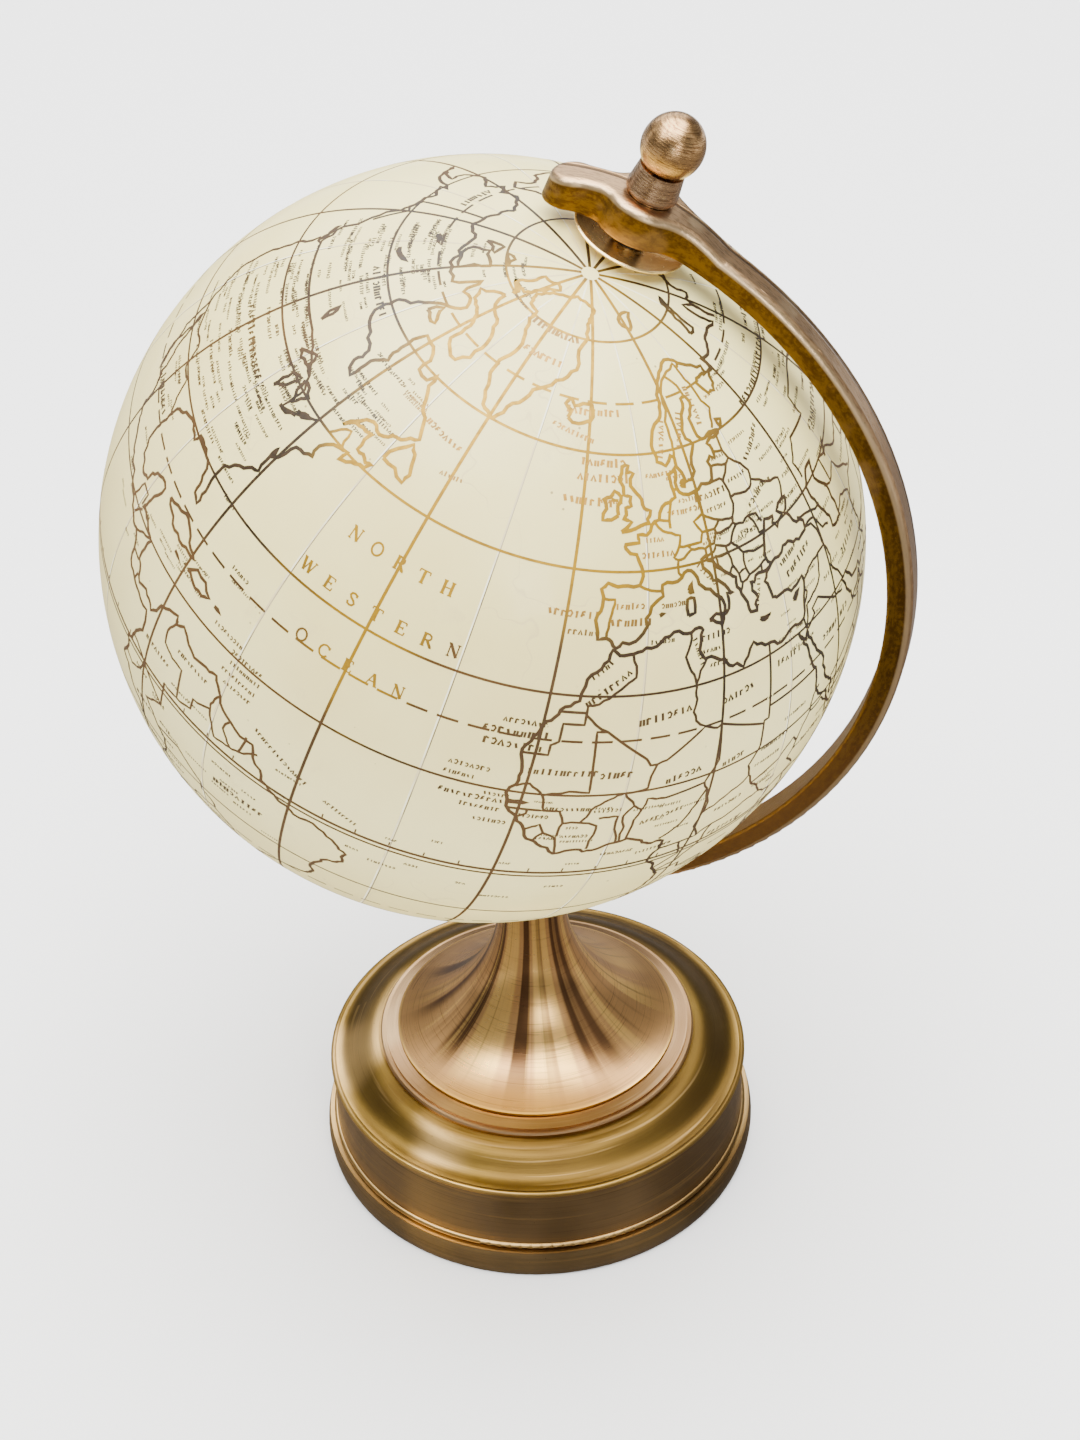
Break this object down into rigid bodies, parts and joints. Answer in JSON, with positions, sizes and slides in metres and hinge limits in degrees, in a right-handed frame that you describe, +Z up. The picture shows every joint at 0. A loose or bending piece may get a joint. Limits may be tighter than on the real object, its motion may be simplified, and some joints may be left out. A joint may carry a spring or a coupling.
{
  "type": "desktop globe",
  "caption": "Tilted world globe with paper gores, turning on a spindle in a cast brass half arm over a flared stem and a stepped round brass foot.",
  "frame": {"origin": "centre of the foot's underside, on the table", "axes": "+Z up along the stem, +X towards the arm, so the spindle leans towards +X; the arm lies in the XZ plane"},
  "size_m": [0.2144, 0.2, 0.3378],
  "materials": {
    "felt": "wool felt",
    "board": "raw fibreboard",
    "antique_brass": "antique brushed brass, lacquered",
    "rose_brass": "polished rose-toned brass",
    "cast_brass": "cast brass, ground outer face",
    "iron": "raw casting",
    "steel": "zinc plated",
    "globe_shell": "moulded shell",
    "map_paper": "varnished printed paper with gold foil lines",
    "bushing": "moulded nylon",
    "dark_washer": "black fibre",
    "map_foil": "gold foil print"
  },
  "bodies": {
    "stand": {"felt_pad": "felt", "bottom_board": "board", "base_shell": "antique_brass", "ballast": "iron", "seat_ring": "rose_brass", "stem": "rose_brass", "tie_rod": "steel", "tie_washer": "steel", "spring_washer": "steel", "tie_nut": "steel", "arm": "cast_brass", "axle": "steel", "spacer_north": "bushing", "spacer_south": "bushing", "finial_washer": "dark_washer", "finial_collar": "rose_brass", "finial_ball": "rose_brass", "bottom_washer": "dark_washer", "bottom_nut": "rose_brass"},
    "globe": {"globe_shell_north": "globe_shell", "globe_shell_south": "globe_shell", "equator_hoop": "board", "map_gores": "map_paper", "bushing_north": "bushing", "bushing_south": "bushing", "axle_tube": "steel", "cap_north": "rose_brass", "cap_south": "rose_brass"}
  },
  "joints": [
    {"name": "globe_spin", "type": "hinge", "parent": "stand", "child": "globe", "pos_m": [-0.0095, 0, 0.21153], "axis": [0.3972, 0, 0.9178], "continuous": true}
  ]
}
